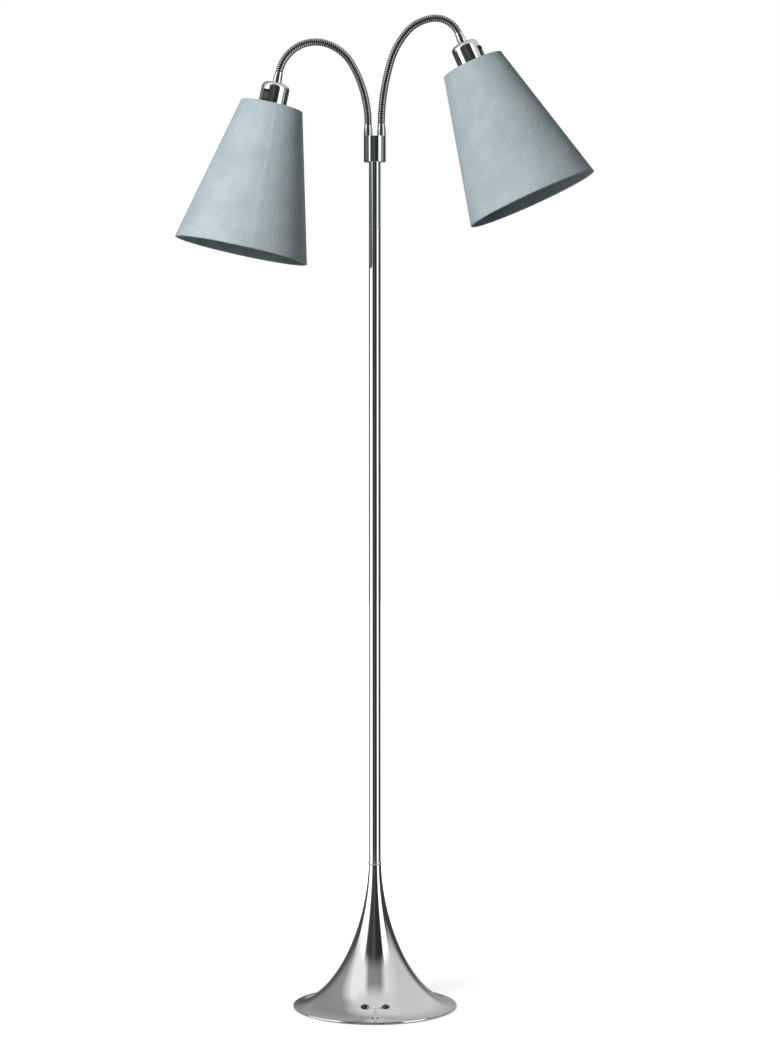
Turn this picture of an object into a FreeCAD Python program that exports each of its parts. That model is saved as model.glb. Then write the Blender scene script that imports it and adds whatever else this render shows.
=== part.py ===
import FreeCAD, Part
import math
import os

from FreeCAD import Placement, Rotation, Vector

# Floor lamp on a trumpet foot. A straight pole in two screwed tubes carries a collar, and two
# bendable gooseneck arms rise from the collar and hold a cone shade each.
# Millimetres. The origin is the centre of the felt pad's underside, on the pole's axis.
# +Z is up, the two shades lie to either side along X, and the front of the lamp faces -Y.

# ---------------------------------------------------------------- driving dimensions

FOOT_RADIUS = 112.0          # outer rim of the trumpet foot
FOOT_TOP_Z = 198.5           # where the foot meets the pole's neck ring
FOOT_NECK_RADIUS = 8.6
FOOT_LIP_HEIGHT = 4.0        # small turned lip round the rim
FOOT_CURVE_POWER = 0.615     # the flare is a Lame curve with this exponent
FOOT_WALL = 1.6
PAD_THICKNESS = 1.5
PLATE_THICKNESS = 1.5

POLE_RADIUS = 8.0
POLE_BORE_RADIUS = 7.0
NECK_RING_RADIUS = 9.2
NECK_RING_HEIGHT = 3.5
POLE_JOINT_Z = 682.0
COLLAR_BOTTOM_Z = 1159.0
COLLAR_TOP_Z = 1194.0
COLLAR_RADIUS = 15.0
THREAD_RADIUS = 5.0          # M10 x 1 lamp thread
THREAD_BORE_RADIUS = 3.6
LEAD_RADIUS = 2.2

STEM_OFFSET = 9.0            # each arm's stem stands this far from the pole's axis
HOSE_RADIUS = 5.0
HOSE_BORE_RADIUS = 3.4
HOSE_PIECE_LENGTH = 43.0
HOSE_JOINT_GAP = 2.4
STEM_FERRULE_LENGTH = 16.0
TIP_FERRULE_LENGTH = 15.0

CUP_RADIUS = 19.0
CUP_WALL = 1.0
CUP_LENGTH = 50.0
SHADE_DROP = 31.0            # from the cup's top down to the plane of the shade's top wire
SHADE_HEIGHT = 200.0
SHADE_TOP_RADIUS = 42.5
SHADE_BOTTOM_RADIUS = 91.5
SHADE_THICKNESS = 1.0
WIRE_SIZE = 3.0

SWITCH_WIDTH = 10.6
SWITCH_TOP = 12.0            # below the cup's top
SWITCH_LENGTH = 17.0
ROCKER_REST_TILT = 7.0       # the rocker stands at one end of its travel

# Each arm: the way its plane faces about the pole, the side it stands on, the bend of each hose
# piece in degrees, and the way its switch faces about the head.
ARMS = {
    "left": {"turn": 190.0, "side": -1.0, "bends": (15.5, 16.0, 42.0, 48.0, 46.2), "switch": 48.0},
    "right": {"turn": -7.0, "side": 1.0, "bends": (8.8, 8.0, 23.0, 45.0, 71.0), "switch": -14.0},
}


# ---------------------------------------------------------------- plain helpers

os.makedirs("parts", exist_ok=True)


def save(name, shape):
    shape.exportStep("parts/" + name + ".step")


def rod(radius, low, high, x=0.0, y=0.0):
    return Part.makeCylinder(radius, high - low, Vector(x, y, low))


def tube(radius, bore, low, high, x=0.0, y=0.0):
    return rod(radius, low, high, x, y).cut(rod(bore, low - 1.0, high + 1.0, x, y))


def turned(outline):
    """A solid turned about Z from a closed outline of (radius, z) corners."""
    corners = [Vector(r, 0.0, z) for r, z in outline]
    wire = Part.makePolygon(corners + corners[:1])
    return Part.Face(wire).revolve(Vector(0, 0, 0), Vector(0, 0, 1), 360)


def box(x0, x1, y0, y1, z0, z1):
    return Part.makeBox(x1 - x0, y1 - y0, z1 - z0, Vector(x0, y0, z0))


def hex_nut(across_flats, bore, low, high):
    corner = across_flats / math.sqrt(3.0)
    points = []
    for k in range(6):
        a = math.radians(60.0 * k)
        points.append(Vector(corner * math.cos(a), corner * math.sin(a), low))
    face = Part.Face(Part.makePolygon(points + points[:1]))
    return face.extrude(Vector(0, 0, high - low)).cut(rod(bore, low - 1.0, high + 1.0))


# ---------------------------------------------------------------- foot

def foot_height(radius):
    """Height of the flare's outside above the lip at this radius."""
    span = FOOT_RADIUS - FOOT_NECK_RADIUS
    out = min(max((radius - FOOT_NECK_RADIUS) / span, 0.0), 1.0)
    rise = FOOT_TOP_Z - FOOT_LIP_HEIGHT
    return FOOT_LIP_HEIGHT + rise * (1.0 - out ** FOOT_CURVE_POWER) ** (1.0 / FOOT_CURVE_POWER)


# the radii at which the spun sheet's section is taken, closer where it turns faster
FOOT_STATIONS = (8.6, 10.2, 13.0, 17.0, 22.5, 30.0, 39.0, 50.0, 63.0, 78.0, 94.0, 112.0)
TUBE_FOOT_Z = 18.0
BALLAST_NUT_Z = 18.5
BALLAST_NUT_HEIGHT = 5.0
BALLAST_SEAT_Z = 25.0
BALLAST_TOP_Z = 38.0
BALLAST_EDGE_Z = 10.5
BALLAST_RADIUS = 78.0
BALLAST_TOP_RADIUS = 44.0
LEAD_ENTRY_Z = 8.5
LEAD_BEND = 14.0
BUSHING_RADIUS = 4.5
BUSHING_INNER_Y = 84.0
BUSHING_OUTER_Y = 103.0


def trumpet_foot():
    outside = [(r, foot_height(r)) for r in FOOT_STATIONS]
    inside = [(r, foot_height(r + 1.5) - 1.5 * FOOT_WALL) for r in FOOT_STATIONS[3:-1]]
    floor = PAD_THICKNESS
    outline = [(THREAD_RADIUS + 0.1, FOOT_TOP_Z)] + outside
    outline += [(FOOT_RADIUS + 0.5, FOOT_LIP_HEIGHT - 0.6), (FOOT_RADIUS + 0.5, floor)]
    outline += [(FOOT_RADIUS - 2.5, floor), (FOOT_RADIUS - 2.5, FOOT_LIP_HEIGHT - FOOT_WALL)]
    outline += list(reversed(inside))
    outline += [(THREAD_RADIUS + 0.1, inside[0][1])]
    way = Part.makeCylinder(BUSHING_RADIUS, 60.0, Vector(0, 70.0, LEAD_ENTRY_Z), Vector(0, 1, 0))
    return turned(outline).cut(way)


def ballast():
    low = PAD_THICKNESS + PLATE_THICKNESS
    outline = [(THREAD_RADIUS + 0.1, BALLAST_TOP_Z), (BALLAST_TOP_RADIUS, BALLAST_TOP_Z)]
    outline += [(BALLAST_RADIUS, BALLAST_EDGE_Z), (BALLAST_RADIUS, low), (14.0, low)]
    outline += [(14.0, BALLAST_SEAT_Z), (THREAD_RADIUS + 0.1, BALLAST_SEAT_Z)]
    channel = box(-3.5, 3.5, 0.0, BALLAST_RADIUS + 5.0, low - 1.0, LEAD_ENTRY_Z + 3.5)
    return turned(outline).cut(channel)


def tube_along(path, radius, start, heading):
    circle = Part.Wire([Part.Circle(start, heading, radius).toShape()])
    return Part.Wire(path).makePipeShell([circle], True, False)


def supply_lead():
    """From the bushing at the back, along the ballast's channel and up inside the pole."""
    top = COLLAR_BOTTOM_Z + 14.0
    turn_y = LEAD_BEND
    turn_z = LEAD_ENTRY_Z + LEAD_BEND
    half = LEAD_BEND * (1.0 - math.sqrt(0.5))
    start = Vector(0, BUSHING_OUTER_Y - 4.0, LEAD_ENTRY_Z)
    path = [Part.LineSegment(start, Vector(0, turn_y, LEAD_ENTRY_Z)).toShape()]
    middle = Vector(0, half, LEAD_ENTRY_Z + half)
    path += [Part.Arc(Vector(0, turn_y, LEAD_ENTRY_Z), middle, Vector(0, 0, turn_z)).toShape()]
    path += [Part.LineSegment(Vector(0, 0, turn_z), Vector(0, 0, top)).toShape()]
    return tube_along(path, LEAD_RADIUS, start, Vector(0, -1, 0))


def cord_bushing():
    start = Vector(0, BUSHING_INNER_Y, LEAD_ENTRY_Z)
    body = Part.makeCylinder(BUSHING_RADIUS, BUSHING_OUTER_Y - BUSHING_INNER_Y, start, Vector(0, 1, 0))
    bore = Part.makeCylinder(LEAD_RADIUS + 0.1, 80.0, Vector(0, 70.0, LEAD_ENTRY_Z), Vector(0, 1, 0))
    return body.cut(bore)


def build_foot():
    low = PAD_THICKNESS
    save("felt_pad", rod(FOOT_RADIUS - 4.0, 0.0, low))
    save("base_cover_plate", rod(FOOT_RADIUS - 9.0, low, low + PLATE_THICKNESS))
    save("trumpet_base", trumpet_foot())
    save("base_ballast", ballast())
    save("ballast_washer", tube(12.0, THREAD_RADIUS + 0.1, BALLAST_SEAT_Z - 1.5, BALLAST_SEAT_Z))
    nut_top = BALLAST_NUT_Z + BALLAST_NUT_HEIGHT
    save("ballast_nut", hex_nut(14.0, THREAD_RADIUS, BALLAST_NUT_Z, nut_top))
    tube_top = FOOT_TOP_Z + NECK_RING_HEIGHT + 16.0
    save("base_threaded_tube", tube(THREAD_RADIUS, THREAD_BORE_RADIUS, TUBE_FOOT_Z, tube_top))
    save("cord_bushing", cord_bushing())
    save("supply_lead", supply_lead())


# ---------------------------------------------------------------- pole and collar

INSERT_LENGTH = 20.0
SLUG_GAP = 0.5               # each slug stands this far short of its tube's length of thread
COLLAR_CAVITY_RADIUS = 12.0
COLLAR_CAVITY_TOP = COLLAR_TOP_Z - 12.0
COLLAR_PLUG_HEIGHT = 5.0
STEM_THREAD_RADIUS = 4.6


def pole_inserts():
    """Threaded slugs brazed into the four ends of the pole tubes."""
    ends = (FOOT_TOP_Z + NECK_RING_HEIGHT, POLE_JOINT_Z - INSERT_LENGTH, POLE_JOINT_Z)
    ends += (COLLAR_BOTTOM_Z - INSERT_LENGTH,)
    slugs = []
    for low in ends:
        slugs.append(tube(POLE_BORE_RADIUS, THREAD_RADIUS, low, low + INSERT_LENGTH - SLUG_GAP))
    return Part.makeCompound(slugs)


def collar():
    body = rod(COLLAR_RADIUS, COLLAR_BOTTOM_Z, COLLAR_TOP_Z)
    body = body.cut(rod(COLLAR_CAVITY_RADIUS, COLLAR_BOTTOM_Z - 1.0, COLLAR_CAVITY_TOP))
    for side in (-1.0, 1.0):
        hole = rod(STEM_THREAD_RADIUS, COLLAR_CAVITY_TOP - 1.0, COLLAR_TOP_Z + 1.0, side * STEM_OFFSET)
        body = body.cut(hole)
    return body


def build_pole():
    start = FOOT_TOP_Z + NECK_RING_HEIGHT
    plug_top = COLLAR_BOTTOM_Z + COLLAR_PLUG_HEIGHT
    save("neck_ring", tube(NECK_RING_RADIUS, THREAD_RADIUS, FOOT_TOP_Z, start))
    save("lower_pole_tube", tube(POLE_RADIUS, POLE_BORE_RADIUS, start, POLE_JOINT_Z))
    save("upper_pole_tube", tube(POLE_RADIUS, POLE_BORE_RADIUS, POLE_JOINT_Z, COLLAR_BOTTOM_Z))
    save("pole_inserts", pole_inserts())
    reach = INSERT_LENGTH - 3.0
    save("pole_joint_nipple", tube(THREAD_RADIUS, THREAD_BORE_RADIUS, POLE_JOINT_Z - reach, POLE_JOINT_Z + reach))
    nut_top = plug_top + 4.0
    save("collar_nipple", tube(THREAD_RADIUS, THREAD_BORE_RADIUS, COLLAR_BOTTOM_Z - reach, nut_top + 1.0))
    save("collar_plug", tube(COLLAR_CAVITY_RADIUS, THREAD_RADIUS, COLLAR_BOTTOM_Z, plug_top))
    save("collar_nut", hex_nut(13.0, THREAD_RADIUS, plug_top, nut_top))
    save("splice_connector", box(-5.0, 5.0, 3.2, 8.4, plug_top + 6.0, plug_top + 15.0))
    save("arm_collar", collar())


# ---------------------------------------------------------------- gooseneck arms
# An arm is drawn in its own upright plane: x outwards, z up, from the collar's top at its stem.
# A station is (x, z, heading), where the heading is the angle from straight up towards +x.

def step_along(station, length, bend):
    """The station a length further on, along an arc that turns by bend degrees."""
    x, z, heading = station
    start = math.radians(heading)
    turn = math.radians(bend)
    if abs(turn) < 1e-9:
        return (x + length * math.sin(start), z + length * math.cos(start), heading)
    radius = length / turn
    x += radius * (math.cos(start) - math.cos(start + turn))
    z += radius * (math.sin(start + turn) - math.sin(start))
    return (x, z, heading + bend)


def neck_stations(arm):
    """The ends of the hose pieces, from the stem's ferrule to the tip's."""
    stations = [step_along((0.0, 0.0, 0.0), STEM_FERRULE_LENGTH, 0.0)]
    for bend in arm["bends"]:
        stations.append(step_along(stations[-1], HOSE_PIECE_LENGTH, bend))
    return stations


def ring_at(station, radius):
    """A circle across the hose, with its start always on the same side."""
    x, z, heading = station
    edge = Part.Circle(Vector(0, 0, 0), Vector(0, 0, 1), radius).toShape()
    edge.Placement = Placement(Vector(x, 0, z), Rotation(Vector(0, 1, 0), heading))
    return Part.Wire([edge])


def bent_rod(station, length, bend, radius, steps, start=0.0, end=0.0):
    """A rod that follows the arc, short of its ends by start and end."""
    rings = []
    for k in range(steps + 1):
        along = start + (length - start - end) * k / steps
        rings.append(ring_at(step_along(station, along, bend * along / length), radius))
    return Part.makeLoft(rings, True, True)


def hose_piece(stations, bends, index):
    """One length of the hose, with half a joint's gap at each end that meets another piece."""
    bend = bends[index]
    start = HOSE_JOINT_GAP / 2.0 if index > 0 else 0.0
    end = HOSE_JOINT_GAP / 2.0 if index < len(bends) - 1 else 0.0
    steps = max(2, int(round(bend / 9.0)))
    outside = bent_rod(stations[index], HOSE_PIECE_LENGTH, bend, HOSE_RADIUS, steps, start, end)
    inside = bent_rod(stations[index], HOSE_PIECE_LENGTH, bend, HOSE_BORE_RADIUS, steps, start - 0.5, end - 0.5)
    return outside.cut(inside)


def ferrule(low, high, wide_end_radius, narrow_end_radius, bore):
    return turned([(bore, low), (wide_end_radius, low), (wide_end_radius, low + 6.0),
                   (narrow_end_radius, high), (bore, high)])


def stem_ferrule():
    """Screwed into the collar by a short spigot."""
    body = ferrule(0.0, STEM_FERRULE_LENGTH, 6.0, 5.3, HOSE_BORE_RADIUS)
    return body.fuse(tube(STEM_THREAD_RADIUS, HOSE_BORE_RADIUS, COLLAR_CAVITY_TOP - COLLAR_TOP_Z, 0.0))


def arm_lead(stations, bends, cup_station):
    """The twin lead, from the collar's splice up through the hose and down into the cup."""
    rings = [ring_at((0.0, -11.0, 0.0), 2.0), ring_at(stations[0], 2.0)]
    for index, bend in enumerate(bends):
        steps = max(2, int(round(bend / 9.0)))
        for k in range(1, steps + 1):
            along = HOSE_PIECE_LENGTH * k / steps
            rings.append(ring_at(step_along(stations[index], along, bend * k / steps), 2.0))
    rings.append(ring_at(step_along(cup_station, 6.0, 0.0), 2.0))
    return Part.makeLoft(rings, True, True)


# ---------------------------------------------------------------- lamp heads
# A head is drawn hanging straight down from the cup's top at z = 0, its switch facing +x.

HOLDER_TOP = -31.5
HOLDER_BOTTOM = -66.0
HOLDER_RADIUS = 15.8
HOLDER_BORE = 14.2
SHELL_BORE = 13.4
CAP_RADIUS = 13.2
RING_NUT_TOP = -52.5
RING_NUT_BOTTOM = -59.0
SPIDER_RADIUS = 21.5


def holder_cup():
    outline = [(3.0, 0.0), (11.5, 0.0), (15.6, -1.6), (18.0, -4.8), (CUP_RADIUS, -10.0), (CUP_RADIUS, -CUP_LENGTH)]
    inner = CUP_RADIUS - CUP_WALL
    outline += [(inner, -CUP_LENGTH), (inner, -10.5), (10.5, -1.6), (3.0, -1.6)]
    window = box(10.0, 25.0, -SWITCH_WIDTH / 2, SWITCH_WIDTH / 2, -SWITCH_TOP - SWITCH_LENGTH, -SWITCH_TOP)
    return turned(outline).cut(window)


def switch_body():
    low = -SWITCH_TOP - SWITCH_LENGTH
    half = SWITCH_WIDTH / 2
    body = box(7.0, CUP_RADIUS, -half, half, low, -SWITCH_TOP)
    rim = box(CUP_RADIUS - 0.3, CUP_RADIUS + 1.2, -half - 0.9, half + 0.9, low - 0.9, -SWITCH_TOP + 0.9)
    well = box(13.0, CUP_RADIUS + 5.0, -half + 1.3, half - 1.3, low + 1.3, -SWITCH_TOP - 1.3)
    clearance = turned([(1.0, 5.0), (CUP_RADIUS, 5.0), (CUP_RADIUS, -45.0), (1.0, -45.0)])
    return body.fuse(rim.cut(clearance)).cut(well)


ROCKER_PIVOT_X = 17.5
ROCKER_PIVOT_Z = -SWITCH_TOP - SWITCH_LENGTH / 2


def rocker():
    """A rocking key, high at one end, on a pin across the switch."""
    half = SWITCH_WIDTH / 2 - 1.7
    reach = SWITCH_LENGTH / 2 - 2.2
    corners = [(-2.2, -reach + 1.2), (3.4, -reach), (2.1, 0.0), (3.4, reach), (-2.2, reach - 1.2)]
    points = [Vector(ROCKER_PIVOT_X + x, -half, ROCKER_PIVOT_Z + z) for x, z in corners]
    key = Part.Face(Part.makePolygon(points + points[:1])).extrude(Vector(0, 2 * half, 0))
    pivot = Vector(ROCKER_PIVOT_X, 0, ROCKER_PIVOT_Z)
    key.rotate(pivot, Vector(0, 1, 0), ROCKER_REST_TILT)
    return key


def shade_wire(plane_z, radius):
    half = WIRE_SIZE / 2
    return turned([(radius - half, plane_z - half), (radius + half, plane_z - half),
                   (radius + half, plane_z + half), (radius - half, plane_z + half)])


def shade_fabric():
    top = -SHADE_DROP
    low = top - SHADE_HEIGHT
    return turned([(SHADE_TOP_RADIUS - SHADE_THICKNESS, top), (SHADE_TOP_RADIUS, top),
                   (SHADE_BOTTOM_RADIUS, low), (SHADE_BOTTOM_RADIUS - SHADE_THICKNESS, low)])


def shade_spider():
    """A flat ring clamped on the holder, and three bent rods out to the top wire."""
    spider = tube(SPIDER_RADIUS, HOLDER_RADIUS + 0.1, RING_NUT_TOP, -CUP_LENGTH)
    wire_z = -SHADE_DROP - WIRE_SIZE
    wire_radius = SHADE_TOP_RADIUS - SHADE_THICKNESS - WIRE_SIZE / 2
    inner = Vector(SPIDER_RADIUS - 0.8, 0, -CUP_LENGTH - 1.25)
    outer = Vector(wire_radius - WIRE_SIZE / 2 - 0.6, 0, wire_z)
    for k in range(3):
        arm = Part.makeCylinder(1.2, (outer - inner).Length, inner, outer - inner)
        arm.rotate(Vector(0, 0, 0), Vector(0, 0, 1), 60.0 + 120.0 * k)
        spider = spider.fuse(arm)
    return spider


def lampholder():
    body = tube(HOLDER_RADIUS, HOLDER_BORE, HOLDER_BOTTOM, HOLDER_TOP)
    lid = tube(HOLDER_RADIUS, 2.5, HOLDER_TOP - 3.0, HOLDER_TOP)
    collar_ring = tube(CUP_RADIUS - CUP_WALL, HOLDER_RADIUS - 0.5, HOLDER_TOP - 6.0, HOLDER_TOP)
    return body.fuse(lid).fuse(collar_ring)


def bulb_glass():
    outline = [(0.0, -64.0), (12.5, -64.0), (18.5, -76.0), (18.5, -140.0)]
    outline += [(16.0, -146.0), (9.0, -150.0), (0.0, -151.0)]
    return turned(outline)


def head_pieces(arm):
    facing = Placement(Vector(0, 0, 0), Rotation(Vector(0, 0, 1), arm["switch"]))
    top_wire_z = -SHADE_DROP - WIRE_SIZE
    low_wire_z = -SHADE_DROP - SHADE_HEIGHT + WIRE_SIZE
    slope = (SHADE_BOTTOM_RADIUS - SHADE_TOP_RADIUS) / SHADE_HEIGHT
    inset = SHADE_THICKNESS + WIRE_SIZE / 2 + slope * WIRE_SIZE / 2
    top_radius = SHADE_TOP_RADIUS + slope * WIRE_SIZE - inset
    low_radius = SHADE_BOTTOM_RADIUS - slope * WIRE_SIZE - inset
    pieces = {
        "tip_ferrule": turned([(HOSE_BORE_RADIUS, 0.0), (6.0, 0.0), (6.0, 9.0),
                               (5.3, TIP_FERRULE_LENGTH), (HOSE_BORE_RADIUS, TIP_FERRULE_LENGTH)]),
        "holder_cup": holder_cup(),
        "switch_body": switch_body(),
        "switch_rocker": rocker(),
        "lampholder": lampholder(),
        "contact_shell": tube(HOLDER_BORE, SHELL_BORE, -62.0, -40.0),
        "shade_ring_nut": tube(CUP_RADIUS, HOLDER_RADIUS, RING_NUT_BOTTOM, RING_NUT_TOP),
        "shade_spider": shade_spider(),
        "shade_top_wire": shade_wire(top_wire_z, top_radius),
        "shade_bottom_wire": shade_wire(low_wire_z, low_radius),
        "shade_fabric": shade_fabric(),
        "bulb_cap": rod(CAP_RADIUS, -64.0, -41.0),
        "bulb_glass": bulb_glass(),
    }
    for name in ("holder_cup", "switch_body", "switch_rocker"):
        pieces[name].Placement = facing
    return pieces


def build_arm(side):
    arm = ARMS[side]
    bends = arm["bends"]
    stations = neck_stations(arm)
    tip = stations[-1]
    cup_station = step_along(tip, TIP_FERRULE_LENGTH, 0.0)
    in_place = Placement(Vector(arm["side"] * STEM_OFFSET, 0, COLLAR_TOP_Z), Rotation(Vector(0, 0, 1), arm["turn"]))
    pieces = {"stem_ferrule": stem_ferrule(), "arm_lead": arm_lead(stations, bends, cup_station)}
    for index in range(len(bends)):
        pieces["gooseneck_" + str(index + 1)] = hose_piece(stations, bends, index)
    hang = Placement(Vector(cup_station[0], 0, cup_station[1]), Rotation(Vector(0, 1, 0), cup_station[2] - 180.0))
    for name, shape in head_pieces(arm).items():
        shape.Placement = hang.multiply(shape.Placement)
        pieces[name] = shape
    for name, shape in pieces.items():
        shape.Placement = in_place.multiply(shape.Placement)
        save(side + "_" + name, shape)


build_foot()
build_pole()
build_arm("left")
build_arm("right")
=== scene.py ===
import math

import bmesh
import bpy
from mathutils import Matrix, Vector


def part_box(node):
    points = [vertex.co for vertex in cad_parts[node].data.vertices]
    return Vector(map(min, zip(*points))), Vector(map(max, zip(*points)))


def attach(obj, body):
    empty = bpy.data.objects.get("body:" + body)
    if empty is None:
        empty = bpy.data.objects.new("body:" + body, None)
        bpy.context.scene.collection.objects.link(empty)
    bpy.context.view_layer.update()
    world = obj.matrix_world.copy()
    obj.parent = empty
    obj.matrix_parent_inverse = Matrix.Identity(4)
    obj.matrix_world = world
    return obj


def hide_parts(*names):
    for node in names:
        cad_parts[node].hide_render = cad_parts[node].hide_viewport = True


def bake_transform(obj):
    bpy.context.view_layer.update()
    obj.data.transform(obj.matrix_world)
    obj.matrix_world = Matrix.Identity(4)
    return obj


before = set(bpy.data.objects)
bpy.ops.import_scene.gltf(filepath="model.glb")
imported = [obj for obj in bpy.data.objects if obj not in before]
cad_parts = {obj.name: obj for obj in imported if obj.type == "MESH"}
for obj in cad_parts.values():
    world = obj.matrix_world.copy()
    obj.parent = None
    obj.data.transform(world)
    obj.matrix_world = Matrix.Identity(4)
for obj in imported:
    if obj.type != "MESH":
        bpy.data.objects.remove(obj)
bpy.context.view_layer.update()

# ------------------------------------------------------------------ camera
# The lamp is seen from the front at chest height by a long lens, tipped down a little. The pole
# stands slightly left of the picture's middle.

CAMERA_LENS = 97.0           # mm, on a sensor 36 mm high
CAMERA_DISTANCE = 3.826
CAMERA_HEIGHT = 0.862
CAMERA_TIP_DOWN = math.radians(2.838)
CAMERA_TURN_RIGHT = math.radians(0.310)

camera_data = bpy.data.cameras.new("camera")
camera_data.lens = CAMERA_LENS
camera_data.sensor_width = 36.0
camera_data.clip_end = 40.0
camera = bpy.data.objects.new("camera", camera_data)
camera.location = (0.0, -CAMERA_DISTANCE, CAMERA_HEIGHT)
camera.rotation_euler = (math.pi / 2 - CAMERA_TIP_DOWN, 0.0, -CAMERA_TURN_RIGHT)
bpy.context.scene.collection.objects.link(camera)
bpy.context.scene.camera = camera
bpy.context.scene.view_settings.view_transform = "Standard"


# ------------------------------------------------------------------ floor and light
# A white paper floor, and a white studio round it whose soft boxes stand to the left and right of
# dark openings. Plating shows those as upright bands, and the floor keeps the lamp's shadow.

def new_material(name):
    """A node material with no nodes in it yet."""
    material = bpy.data.materials.new(name)
    material.use_nodes = True
    material.node_tree.nodes.clear()
    return material


def node(material, kind, inputs=None, **settings):
    """One shader node. An input is a value, or a socket of another node to link from."""
    made = material.node_tree.nodes.new(kind)
    for key, value in settings.items():
        setattr(made, key, value)
    for key, value in (inputs or {}).items():
        if isinstance(value, bpy.types.NodeSocket):
            material.node_tree.links.new(value, made.inputs[key])
        else:
            made.inputs[key].default_value = value
    return made


def ramp(material, factor, stops, interpolation="LINEAR"):
    """A colour ramp through (place, grey or colour) stops, and its colour socket."""
    made = node(material, "ShaderNodeValToRGB", {"Fac": factor})
    made.color_ramp.interpolation = interpolation
    while len(made.color_ramp.elements) < len(stops):
        made.color_ramp.elements.new(1.0)
    for element, (place, shade) in zip(made.color_ramp.elements, stops):
        element.position = place
        element.color = (shade, shade, shade, 1.0) if isinstance(shade, float) else (*shade, 1.0)
    return made.outputs["Color"]


def math_node(material, operation, first, second=0.0):
    """The result of a sum on one or two values or sockets."""
    made = node(material, "ShaderNodeMath", {0: first, 1: second}, operation=operation)
    return made.outputs["Value"]


# bearing from the lamp's front, in degrees to its right, and how bright the studio is there
STUDIO_BANDS = [(-180, 0.12), (-118, 0.06), (-108, 0.06), (-101, 1.5), (-53, 1.5), (-46, 0.10),
                (-30, 0.04), (-4, 0.09), (8, 0.03), (38, 0.03), (43, 1.4), (72, 1.4), (78, 0.05),
                (150, 0.05), (168, 0.35), (180, 0.35)]
HIGHER_BANDS = [(-180, 0.40), (-150, 0.28), (-112, 0.32), (-84, 0.95), (-42, 0.95), (-26, 0.28),
                (24, 0.26), (44, 0.85), (90, 0.62), (150, 0.66), (180, 0.40)]


def studio_bands(material, across, ahead, stops):
    """The studio's brightness in the direction or at the place across and ahead of the lamp."""
    toward_front = math_node(material, "MULTIPLY", ahead, -1.0)
    bearing = math_node(material, "ARCTAN2", across, toward_front)
    turned = node(material, "ShaderNodeMath", {0: bearing, 1: 0.5 / math.pi, 2: 0.5},
                  operation="MULTIPLY_ADD")
    placed = [(0.5 + degrees / 360.0, brightness) for degrees, brightness in stops]
    return ramp(material, turned.outputs["Value"], placed)


FLOOR_SIZE = 14.0
BANDS_FROM, BANDS_TO = 0.5, 1.3          # how far out the floor takes on the studio's bands
WHITE_FROM, WHITE_TO = 0.2, 1.1          # how far out the floor turns plain white
PAPER_GLOW = 1.65
paper = new_material("white_paper")
paper_place = node(paper, "ShaderNodeTexCoord").outputs["Object"]
paper_parts = node(paper, "ShaderNodeSeparateXYZ", {0: paper_place})
paper_reach = node(paper, "ShaderNodeVectorMath", {0: paper_place}, operation="LENGTH")
paper_far = node(paper, "ShaderNodeMapRange", {
    "Value": paper_reach.outputs["Value"], "From Min": BANDS_FROM, "From Max": BANDS_TO})
paper_grain = node(paper, "ShaderNodeTexNoise", {
    "Vector": paper_place, "Scale": 60.0, "Detail": 4.0})
paper_colour = ramp(paper, paper_grain.outputs["Fac"], [(0.3, 0.54), (0.7, 0.58)])
paper_lit = node(paper, "ShaderNodeBsdfDiffuse", {"Color": paper_colour})
paper_white = node(paper, "ShaderNodeEmission", {
    "Color": (1.0, 1.0, 1.0, 1.0), "Strength": PAPER_GLOW})
paper_bands = studio_bands(paper, paper_parts.outputs["X"], paper_parts.outputs["Y"],
                           STUDIO_BANDS)
paper_banded = node(paper, "ShaderNodeEmission", {"Color": paper_bands, "Strength": 1.0})
paper_rays = node(paper, "ShaderNodeLightPath")
mirrored = math_node(paper, "MULTIPLY", paper_rays.outputs["Is Glossy Ray"],
                     paper_far.outputs["Result"])
paper_seen = node(paper, "ShaderNodeMixShader", {
    0: mirrored, 1: paper_lit.outputs[0], 2: paper_banded.outputs[0]})
whitening = node(paper, "ShaderNodeMapRange", {
    "Value": paper_reach.outputs["Value"], "From Min": WHITE_FROM, "From Max": WHITE_TO,
    "To Min": 0.5, "To Max": 1.0})
whitened = math_node(paper, "MULTIPLY", paper_rays.outputs["Is Camera Ray"],
                     whitening.outputs["Result"])
paper_mix = node(paper, "ShaderNodeMixShader", {
    0: whitened, 1: paper_seen.outputs[0], 2: paper_white.outputs[0]})
node(paper, "ShaderNodeOutputMaterial", {"Surface": paper_mix.outputs[0]})

floor_mesh = bpy.data.meshes.new("floor")
half_floor = FLOOR_SIZE / 2
floor_corners = [(-half_floor, -half_floor, 0), (half_floor, -half_floor, 0),
                 (half_floor, half_floor, 0), (-half_floor, half_floor, 0)]
floor_mesh.from_pydata(floor_corners, [], [(0, 1, 2, 3)])
floor_mesh.materials.append(paper)
floor = bpy.data.objects.new("floor", floor_mesh)
bpy.context.scene.collection.objects.link(floor)

CLOTH_LIGHT_SHARE = 0.06     # how much of the studio's light reaches what isn't glossy
studio = bpy.data.worlds.new("studio")
studio.use_nodes = True
studio.node_tree.nodes.clear()
bpy.context.scene.world = studio
direction = node(studio, "ShaderNodeTexCoord").outputs["Generated"]
looking = node(studio, "ShaderNodeSeparateXYZ", {0: direction})
low_bands = studio_bands(studio, looking.outputs["X"], looking.outputs["Y"], STUDIO_BANDS)
high_bands = studio_bands(studio, looking.outputs["X"], looking.outputs["Y"], HIGHER_BANDS)

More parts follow.
